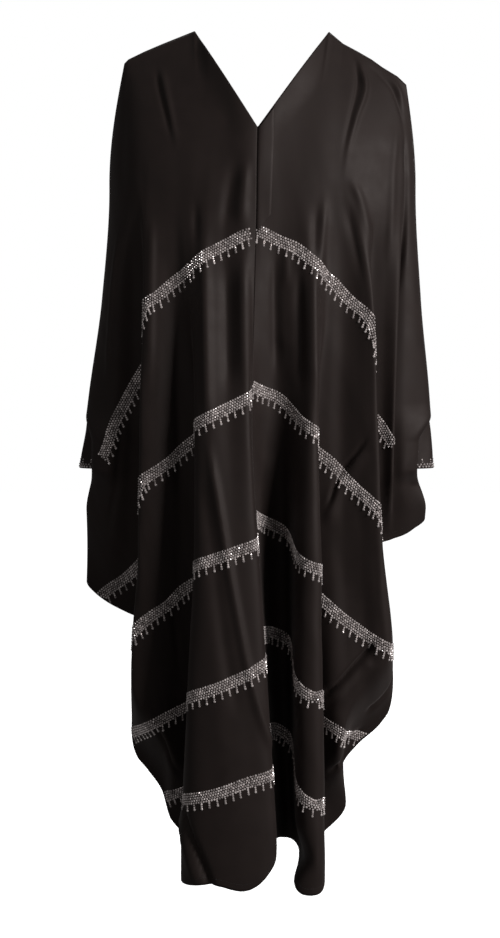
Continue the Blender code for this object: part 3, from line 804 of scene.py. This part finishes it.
def wall(places, outward, thickness, closed=False):
    """A wall round a grid of places, with half its thickness to each side and closed rims."""
    across, down = places.shape[:2]
    half = outward * thickness / 2
    vertices = np.concatenate([(places + half).reshape(-1, 3), (places - half).reshape(-1, 3)])
    inner = across * down
    index = np.arange(inner).reshape(across, down)
    if closed:
        index = np.concatenate([index, index[:1]])
    corners = (index[:-1, :-1], index[1:, :-1], index[1:, 1:], index[:-1, 1:])
    outside = np.stack([corner.ravel() for corner in corners], axis=-1)
    faces = [outside, outside[:, ::-1] + inner]
    rims = [index[::-1, 0], index[:, -1]]
    if not closed:
        rims += [index[0, :], index[-1, ::-1]]
    for rim in rims:
        faces.append(np.stack([rim[:-1], rim[1:], rim[1:] + inner, rim[:-1] + inner], axis=-1))
    return vertices, faces


def new_material(name):
    """A new material with its node tree and its shader."""
    material = bpy.data.materials.new(name)
    material.use_nodes = True
    tree = material.node_tree
    return material, tree, tree.nodes["Principled BSDF"]


def add_node(tree, kind, values=None, sources=None, **settings):
    """A shader node with its settings, the values of its inputs and the links into them."""
    node = tree.nodes.new("ShaderNode" + kind)
    for name, value in settings.items():
        setattr(node, name, value)
    for socket, value in (values or {}).items():
        node.inputs[socket].default_value = value
    for socket, source in (sources or {}).items():
        tree.links.new(source, node.inputs[socket])
    return node


def opaque(colour, strength=1.0):
    """A colour scaled by a strength, up to white, with its alpha."""
    return [min(1.0, strength * channel) for channel in colour] + [1.0]


@functools.lru_cache(maxsize=None)
def crepe_material(name, pressed=False):
    """Crepe: a pebbled grain in the bump, faint slubs, and a colour that varies a little."""
    cloth = bpy.context.scene.cloak_cloth
    material, tree, shader = new_material(name)
    # A pressed piece takes the lighter placket colour, which paints its sheen into the base colour
    colour = cloth.placket_painted_sheen_colour if pressed else cloth.colour
    place = {"Vector": add_node(tree, "TexCoord").outputs["Object"]}
    grain = add_node(tree, "TexNoise", {"Scale": 1 / cloth.grain, "Detail": 3.0,
                                        "Roughness": 0.6}, place).outputs["Fac"]
    patches = add_node(tree, "TexNoise", {"Scale": 28.0, "Detail": 4.0}, place).outputs["Fac"]
    spread = add_node(tree, "Math", {1: 0.55}, {0: grain, 2: patches},
                      operation="MULTIPLY_ADD")
    tint = add_node(tree, "Mix", {"A": opaque(colour, 0.72), "B": opaque(colour, 1.30)},
                    {"Factor": spread.outputs["Value"]}, data_type="RGBA")
    worn = add_node(tree, "MapRange", {"To Min": cloth.roughness - 0.10,
                                       "To Max": cloth.roughness + 0.12}, {"Value": patches})
    bump = add_node(tree, "Bump", {"Strength": 0.35, "Distance": 0.0002}, {"Height": grain})
    tree.links.new(tint.outputs["Result"], shader.inputs["Base Color"])
    tree.links.new(worn.outputs["Result"], shader.inputs["Roughness"])
    tree.links.new(bump.outputs["Normal"], shader.inputs["Normal"])
    shader.inputs["Specular IOR Level"].default_value = 0.30
    shader.inputs["Sheen Weight"].default_value = cloth.sheen
    shader.inputs["Sheen Roughness"].default_value = 0.45
    shader.inputs["Sheen Tint"].default_value = (0.95, 0.84, 0.81, 1.0)
    shader.inputs["Specular Tint"].default_value = (1.0, 0.89, 0.85, 1.0)
    return material


@functools.lru_cache(maxsize=None)
def thread_material():
    """Black thread with a twist in its bump."""
    material, tree, shader = new_material("thread")
    place = add_node(tree, "TexCoord").outputs["Object"]
    twist = add_node(tree, "TexNoise", {"Scale": 2500.0}, {"Vector": place})
    bump = add_node(tree, "Bump", {"Strength": 0.5, "Distance": 0.0001},
                    {"Height": twist.outputs["Fac"]})
    tree.links.new(bump.outputs["Normal"], shader.inputs["Normal"])
    colour = bpy.context.scene.cloak_cloth.thread_colour
    shader.inputs["Base Color"].default_value = opaque(colour)
    shader.inputs["Roughness"].default_value = 0.45
    return material


@functools.lru_cache(maxsize=None)
def stone_material():
    """Foil-backed cut stone: a bright mirror under a clear coat, each stone of its own tone."""
    stones = bpy.context.scene.cloak_stones
    material, tree, shader = new_material("cut_stone")
    tone = add_node(tree, "Attribute", attribute_name="tone")
    tint = add_node(tree, "Mix", {"A": opaque(stones.colour, 0.45),
                                  "B": opaque(stones.colour, 1.45)},
                    {"Factor": tone.outputs["Fac"]}, data_type="RGBA")
    tree.links.new(tint.outputs["Result"], shader.inputs["Base Color"])
    shader.inputs["Metallic"].default_value = 0.30
    shader.inputs["Roughness"].default_value = 0.22
    shader.inputs["Coat Weight"].default_value = 0.6
    shader.inputs["Coat Roughness"].default_value = 0.05
    return material


def add_cloth(name, node, places, outward, pressed=False, closed=False):
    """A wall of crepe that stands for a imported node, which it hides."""
    vertices, faces = wall(places, outward, bpy.context.scene.cloak_cloth.thickness, closed)
    material = crepe_material("placket_crepe_painted_sheen", True) if pressed else crepe_material("crepe")
    piece = add_piece(name, vertices, faces, material)
    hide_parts(node)


def run_along(places):
    """Distance along a line of places, from its start."""
    return np.concatenate([[0], np.cumsum(np.linalg.norm(np.diff(places, axis=0), axis=-1))])


def pick(wanted, run, values):
    """Vectors at wanted distances along a line, by straight shares."""
    return np.stack([np.interp(wanted, run, column) for column in values.T], axis=-1)


def stone_mesh(places, outward, along, sizes, seed):
    """Cut stones: low pyramids with a flat table, turned to the cloth and a little askew."""
    stones = bpy.context.scene.cloak_stones
    random = np.random.default_rng(seed)
    count = len(places)
    outward = unit(outward + random.normal(0, STONE_TILT, (count, 3)))
    along = unit(along - outward * (along * outward).sum(-1, keepdims=True))
    sideways = np.cross(outward, along)
    angle = np.linspace(0, 2 * math.pi, STONE_SIDES, endpoint=False)
    rings = [(1.0, 0.0), (STONE_TABLE, 1.0)]
    corners = np.array([(radius * math.cos(a), radius * math.sin(a), rise)
                        for radius, rise in rings for a in angle])
    radius = (sizes * stones.diameter / 2)[:, None, None]
    rise = (sizes * stones.height)[:, None, None]
    vertices = (places[:, None] + radius * (along[:, None] * corners[:, :1]
                + sideways[:, None] * corners[:, 1:2]) + rise * outward[:, None] * corners[:, 2:])
    sides = STONE_SIDES
    first = np.arange(count)[:, None, None] * 2 * sides
    side = np.array([(i, (i + 1) % sides, (i + 1) % sides + sides, i + sides)
                     for i in range(sides)])
    table = np.array([range(sides, 2 * sides)])
    base = np.array([range(sides - 1, -1, -1)])
    faces = [(first + block).reshape(-1, block.shape[1]) for block in (side, table, base)]
    tones = np.repeat(random.uniform(0, 1, count), 2 * sides)
    return vertices.reshape(-1, 3), faces, tones


def add_stones(name, places, outward, along, sizes, seed):
    """A piece of many joined stones, each with its own tone."""
    vertices, faces, tones = stone_mesh(places, outward, along, sizes, seed)
    piece = add_piece(name, vertices, faces, stone_material())
    piece.data.shade_flat()
    attribute = piece.data.attributes.new("tone", "FLOAT", "POINT")
    attribute.data.foreach_set("value", tones)
    return piece


def band_line(surface, heights, count=BAND_POINTS):
    """Folds and parts along a band: the heights joined by lines with rounded corners."""
    last = surface.panel.last
    outer = len(heights) - 1
    from_centre = np.linspace(0.0, min(outer, last), count)
    rounded = np.zeros(count)
    for shift in np.linspace(-BAND_SMOOTHING, BAND_SMOOTHING, 7):
        rounded += np.interp(from_centre + shift, np.arange(outer + 1), heights) / 7
    fold = from_centre if surface.panel.name == "front_right" else last - from_centre
    part = surface.panel.part_at(fold, rounded)
    return fold, part


def band_stones(surface, heights, start):
    """Rows of stones across a band with the drops below it, walked out from the band's own line."""
    stones = bpy.context.scene.cloak_stones
    fold, part = band_line(surface, heights)
    kept = part < 1.0
    if not kept.all():
        kept[np.argmin(kept):] = False
    fold, part = fold[kept], part[kept]
    places, outward = surface.at(fold, part)
    run = run_along(places)
    tangent = unit(np.gradient(places, axis=0))
    across = np.cross(outward, tangent)
    if across[:, 2].mean() > 0:
        across = -across
    found = []
    middle = (stones.rows - 1) / 2
    lowest = None
    for row in range(stones.rows):
        offset = start + (0.5 * stones.pitch if row % 2 else 0.0)
        wanted = np.arange(offset, run[-1], stones.pitch)
        at_fold, at_part = np.interp(wanted, run, fold), np.interp(wanted, run, part)
        heading = pick(wanted, run, across)
        away = (row - middle) * stones.row_pitch
        moved = surface.walk(at_fold, at_part, heading * np.sign(away or 1), abs(away))
        found.append((moved[0], moved[1], pick(wanted, run, tangent), np.ones(len(wanted))))
        if row == stones.rows - 1:
            lowest = (moved[0], moved[1], heading, pick(wanted, run, tangent))
    at_fold, at_part, heading, along = (value[1::stones.drop_every] for value in lowest)
    heading = unit((1 - DROP_PLUMB) * heading + DROP_PLUMB * np.array((0.0, 0.0, -1.0)))
    for number in range(stones.drop_stones):
        at_fold, at_part, heading = surface.walk(at_fold, at_part, heading, stones.row_pitch * 0.92)
        size = 1.15 if number == stones.drop_stones - 1 else 0.95
        found.append((at_fold, at_part, along, np.full(len(at_fold), size)))
    fold, part, along, sizes = (np.concatenate(values) for values in zip(*found))
    inside = (part > 0) & (part < 0.997) & (fold > 0.02) & (fold < surface.panel.last - 0.02)
    places, outward = surface.at(fold[inside], part[inside])
    return places, outward, along[inside], sizes[inside]


def cuff_places(outer_side, angle, down):
    """Places and directions on a cuff: an ellipse that widens and leans out downwards."""
    outer_x = outer_side[0] + (outer_side[1] - outer_side[0]) * down
    x = outer_x + CUFF_HALF_WIDTH * (np.cos(angle) - math.copysign(1.0, outer_side[0]))
    half_depth = CUFF_HALF_DEPTH[0] + (CUFF_HALF_DEPTH[1] - CUFF_HALF_DEPTH[0]) * down
    ripple = CUFF_RIPPLE * np.sin(5 * angle + 4 * down)
    ripple = ripple * smooth(down * 3) * (1 - smooth(down * 3 - 2))
    outward = np.stack([np.cos(angle) / CUFF_HALF_WIDTH, np.sin(angle) / half_depth,
                        np.zeros_like(angle)], axis=-1)
    outward = unit(outward)
    places = np.stack([x, half_depth * np.sin(angle), CUFF_TOP_Z - CUFF_LENGTH * down], axis=-1)
    return places + outward * ripple[..., None], outward


def stitch_mesh(places, outward, along, length, width, height):
    """Stitches: low bars with four sides, each lying along its line."""
    along = unit(along)
    sideways = np.cross(outward, along)
    corners = np.array([(x, y, z) for z in (0, 1) for x, y in
                        ((-1, -1), (1, -1), (1, 1), (-1, 1))], dtype=float)
    corners[4:, :2] *= (0.7, 0.5)
    vertices = (places[:, None] + along[:, None] * corners[:, :1] * length / 2
                + sideways[:, None] * corners[:, 1:2] * width / 2
                + outward[:, None] * (corners[:, 2:] * height - height * 0.2))
    first = np.arange(len(places))[:, None, None] * 8
    bar = np.array([(0, 3, 2, 1), (4, 5, 6, 7), (0, 1, 5, 4), (1, 2, 6, 5), (2, 3, 7, 6),
                    (3, 0, 4, 7)])
    return vertices.reshape(-1, 3), [(first + bar).reshape(-1, 4)]


def add_stitches(name, places, outward):
    """A piece of stitches along a line of places, at even distances on the cloth."""
    cloth = bpy.context.scene.cloak_cloth
    pitch = cloth.stitch_pitch
    places = places + outward * cloth.thickness / 2
    run = run_along(places)
    wanted = np.arange(pitch, run[-1] - pitch, pitch)
    along = unit(pick(wanted, run, np.gradient(places, axis=0)))
    vertices, faces = stitch_mesh(pick(wanted, run, places), unit(pick(wanted, run, outward)),
                                  along, STITCH_SHARE * pitch, STITCH_WIDTH, STITCH_HEIGHT)
    add_piece(name, vertices, faces, thread_material())


class CLOAK_OT_panels(bpy.types.Operator):
    """Make the two fronts and the back as thin crepe in its folds"""
    bl_idname = "cloak.panels"
    bl_label = "Make the Panels"

    def execute(self, context):
        for name, surface in surfaces().items():
            add_cloth("crepe_" + name, name, surface.places, surface.outward)
        return {"FINISHED"}


class CLOAK_OT_placket(bpy.types.Operator):
    """Make the pressed strip beside the centre seam"""
    bl_idname = "cloak.placket"
    bl_label = "Make the Placket"

    def execute(self, context):
        cloth = context.scene.cloak_cloth
        surface = surfaces()["front_left"]
        last = surface.panel.last
        folds = last - np.linspace(*PLACKET_FOLDS, PLACKET_STEPS[0])
        parts = np.linspace(*PLACKET_PARTS, PLACKET_STEPS[1])
        fold, part = np.meshgrid(folds, parts, indexing="ij")
        places, outward = surface.at(fold, part)
        lift = (cloth.thickness + PLACKET_GAP) * np.ones(fold.shape)
        across = np.arange(PLACKET_STEPS[0])
        edge = np.minimum(across, across[-1] - across) / across[-1]
        lift += PLACKET_FULLNESS * smooth(edge * PLACKET_EDGE)[:, None]
        raised = places + outward * lift[..., None]
        # The placket gets the lighter colour: a painted sheen on the pressed strip
        add_cloth("pressed_placket", "placket", raised, outward, pressed=True)
        return {"FINISHED"}


class CLOAK_OT_cuffs(bpy.types.Operator):
    """Make the short open cuffs"""
    bl_idname = "cloak.cuffs"
    bl_label = "Make the Cuffs"

    def execute(self, context):
        around = -np.linspace(0.0, 2 * math.pi, CUFF_STEPS[0], endpoint=False)
        angle, down = np.meshgrid(around, np.linspace(0.0, 1.0, CUFF_STEPS[1]), indexing="ij")
        for side, outer_side in CUFF_SIDES.items():
            places, outward = cuff_places(outer_side, angle, down)
            name = "cuff_" + side
            add_cloth("crepe_" + name, name, places, outward, closed=True)
        return {"FINISHED"}


class CLOAK_OT_bands(bpy.types.Operator):
    """Set the five chevron bands of stones with their drops on both fronts"""
    bl_idname = "cloak.bands"
    bl_label = "Set the Bands of Stones"

    def execute(self, context):
        lift = context.scene.cloak_cloth.thickness / 2
        for number, band in enumerate(records(BANDS, BAND_COLUMNS)):
            for side in ("right", "left"):
                surface = surfaces()["front_" + side]
                start = BAND_STARTS[side] if number == 0 else BAND_STARTS["left"]
                places, outward, along, sizes = band_stones(surface, band[side], start)
                name = "stones_" + band["name"] + "_" + side
                add_stones(name, places + outward * lift, outward, along, sizes, 100 + number)
        return {"FINISHED"}


class CLOAK_OT_cuff_trim(bpy.types.Operator):
    """Set two rows of stones round each cuff, with drops that point up"""
    bl_idname = "cloak.cuff_trim"
    bl_label = "Set the Cuff Stones"

    def execute(self, context):
        stones = context.scene.cloak_stones
        lift = context.scene.cloak_cloth.thickness / 2
        count = CUFF_TRIM_STONES
        for name, outer_side in CUFF_SIDES.items():
            angles, downs, sizes = [], [], []
            for row in range(CUFF_TRIM_ROWS + stones.drop_stones - 1):
                turn = 0.5 if row == 1 else 0.0
                angle = (np.arange(count) + turn) * 2 * math.pi / count
                if row >= CUFF_TRIM_ROWS:
                    angle = angle[::stones.drop_every]
                down = 1 - (CUFF_TRIM_EDGE + row * stones.row_pitch) / CUFF_LENGTH
                angles.append(angle)
                downs.append(np.full(len(angle), down))
                sizes.append(np.full(len(angle), 1.0 if row < CUFF_TRIM_ROWS else 0.75))
            angle, down, size = (np.concatenate(values) for values in (angles, downs, sizes))
            places, outward = cuff_places(outer_side, angle, down)
            along = np.stack([-np.sin(angle), np.cos(angle), np.zeros_like(angle)], axis=-1)
            add_stones("stones_cuff_" + name, places + outward * lift, outward, along, size, 200)
        return {"FINISHED"}


class CLOAK_OT_stitches(bpy.types.Operator):
    """Sew the hems and the cuffs"""
    bl_idname = "cloak.stitches"
    bl_label = "Sew the Hems"

    def execute(self, context):
        cloth = context.scene.cloak_cloth
        for name, surface in surfaces().items():
            fold = np.linspace(0.15, surface.panel.last - 0.15, 1500)
            length = surface.panel.top(fold) - surface.at(fold, np.ones_like(fold))[0][:, 2]
            places, outward = surface.at(fold, 1 - cloth.hem_width / length)
            add_stitches("hem_stitches_" + name, places, outward)
        around = np.linspace(0.0, 2 * math.pi, 200)
        for name, outer_side in CUFF_SIDES.items():
            places, outward = cuff_places(outer_side, around, np.full(200, 0.10))
            add_stitches("cuff_stitches_" + name, places, outward)
        return {"FINISHED"}


class CLOAK_OT_stage(bpy.types.Operator):
    """Make the floor, the lights and the camera"""
    bl_idname = "cloak.stage"
    bl_label = "Set the Stage"

    def execute(self, context):
        stage = context.scene.cloak_stage
        self.floor(stage)
        powers = (stage.key_power, stage.fill_power, stage.back_power)
        for (name, (place, size)), power in zip(LIGHTS.items(), powers):
            self.area_light(name, place, size, power)
        self.world(context.scene, stage)
        context.scene.view_settings.view_transform = "Standard"
        camera = link_object("camera", bpy.data.cameras.new("camera"))
        camera.data.lens = stage.lens
        camera.data.sensor_width = SENSOR_WIDTH
        camera.location = CAMERA_PLACE
        camera.rotation_euler = (math.radians(90 - CAMERA_TILT), 0.0, 0.0)
        context.scene.camera = camera
        return {"FINISHED"}

    def world(self, scene, stage):
        """White where it is seen past the floor, and dimmer as a light on the cloth."""
        world = bpy.data.worlds.new("white studio")
        world.use_nodes = True
        tree = world.node_tree
        seen = tree.nodes["Background"]
        seen.inputs["Color"].default_value = (1.0, 1.0, 1.0, 1.0)
        light = add_node(tree, "Background", {"Strength": stage.world_strength})
        path = add_node(tree, "LightPath")
        mix = add_node(tree, "MixShader", sources={
            "Fac": path.outputs["Is Camera Ray"], 1: light.outputs["Background"],
            2: seen.outputs["Background"]})
        tree.links.new(mix.outputs["Shader"], tree.nodes["World Output"].inputs["Surface"])
        scene.world = world

    def floor(self, stage):
        """A round pale floor below the hem, whose rim fades into the white around it."""
        turn, radius = np.meshgrid(
            np.linspace(0, 2 * math.pi, FLOOR_STEPS[0], endpoint=False),
            np.linspace(*FLOOR_RADII, FLOOR_STEPS[1]), indexing="ij")
        height = np.full_like(turn, CAD_BOX[0][2] - stage.floor_gap)
        vertices = np.stack([radius * np.cos(turn), radius * np.sin(turn), height], axis=-1)
        index = np.arange(turn.size).reshape(turn.shape)
        near, far = index, np.roll(index, -1, axis=0)
        rings = np.stack([near[:, :-1], near[:, 1:], far[:, 1:], far[:, :-1]], axis=-1)
        mesh = bpy.data.meshes.new("floor")
        mesh.from_pydata(vertices.reshape(-1, 3).tolist(), [],
                         rings.reshape(-1, 4).tolist() + [index[:, 0].tolist()])
        material, tree, shader = new_material("pale floor")
        shader.inputs["Base Color"].default_value = opaque(stage.floor_colour)
        shader.inputs["Roughness"].default_value = 0.9
        shader.inputs["Emission Color"].default_value = (1.0, 1.0, 1.0, 1.0)
        place = add_node(tree, "TexCoord").outputs["Object"]
        length = add_node(tree, "VectorMath", sources={0: place}, operation="LENGTH")
        fade = add_node(tree, "MapRange", {"From Min": 1.5, "From Max": 6.0, "To Min": 0.65},
                        {"Value": length.outputs["Value"]})
        tree.links.new(fade.outputs["Result"], shader.inputs["Emission Strength"])
        mesh.materials.append(material)
        floor = link_object("floor", mesh)
        floor.visible_diffuse = False
        floor.visible_glossy = False

    def area_light(self, name, place, size, power):
        """A square soft light that looks at the middle of the cloak."""
        light = bpy.data.lights.new(name, "AREA")
        light.size = size
        light.energy = power
        lamp = link_object(name, light)
        lamp.location = place
        away = np.array(LIGHT_AIM) - np.array(place)
        lamp.rotation_euler = (math.atan2(math.hypot(away[0], away[1]), -away[2]), 0.0,
                               math.atan2(-away[0], away[1]))


class CLOAK_PT_sidebar(bpy.types.Panel):
    """Buttons and settings of the cloak"""
    bl_idname = "CLOAK_PT_sidebar"
    bl_label = "Abaya Cloak"
    bl_space_type = "VIEW_3D"
    bl_region_type = "UI"
    bl_category = "Cloak"

    def draw(self, context):
        for settings in (context.scene.cloak_cloth, context.scene.cloak_stones,
                         context.scene.cloak_stage):
            box = self.layout.box()
            for name in settings.bl_rna.properties.keys():
                if name not in ("rna_type", "name"):
                    box.prop(settings, name)
        for operator in OPERATORS:
            self.layout.operator(operator.bl_idname)


OPERATORS = (CLOAK_OT_panels, CLOAK_OT_placket, CLOAK_OT_cuffs, CLOAK_OT_bands,
             CLOAK_OT_cuff_trim, CLOAK_OT_stitches, CLOAK_OT_stage)
CLASSES = (ClothSettings, StoneSettings, StageSettings) + OPERATORS + (CLOAK_PT_sidebar,)


def register():
    """Register the classes and give the scene its settings."""
    for item in CLASSES:
        bpy.utils.register_class(item)
    bpy.types.Scene.cloak_cloth = bpy.props.PointerProperty(type=ClothSettings)
    bpy.types.Scene.cloak_stones = bpy.props.PointerProperty(type=StoneSettings)
    bpy.types.Scene.cloak_stage = bpy.props.PointerProperty(type=StageSettings)


def unregister():
    """Take the settings and the classes away again."""
    del bpy.types.Scene.cloak_stage
    del bpy.types.Scene.cloak_stones
    del bpy.types.Scene.cloak_cloth
    for item in reversed(CLASSES):
        bpy.utils.unregister_class(item)


def main():
    """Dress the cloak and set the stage."""
    register()
    bpy.ops.cloak.panels()
    bpy.ops.cloak.placket()
    bpy.ops.cloak.cuffs()
    bpy.ops.cloak.bands()
    bpy.ops.cloak.cuff_trim()
    bpy.ops.cloak.stitches()
    bpy.ops.cloak.stage()


if __name__ == "__main__":
    main()
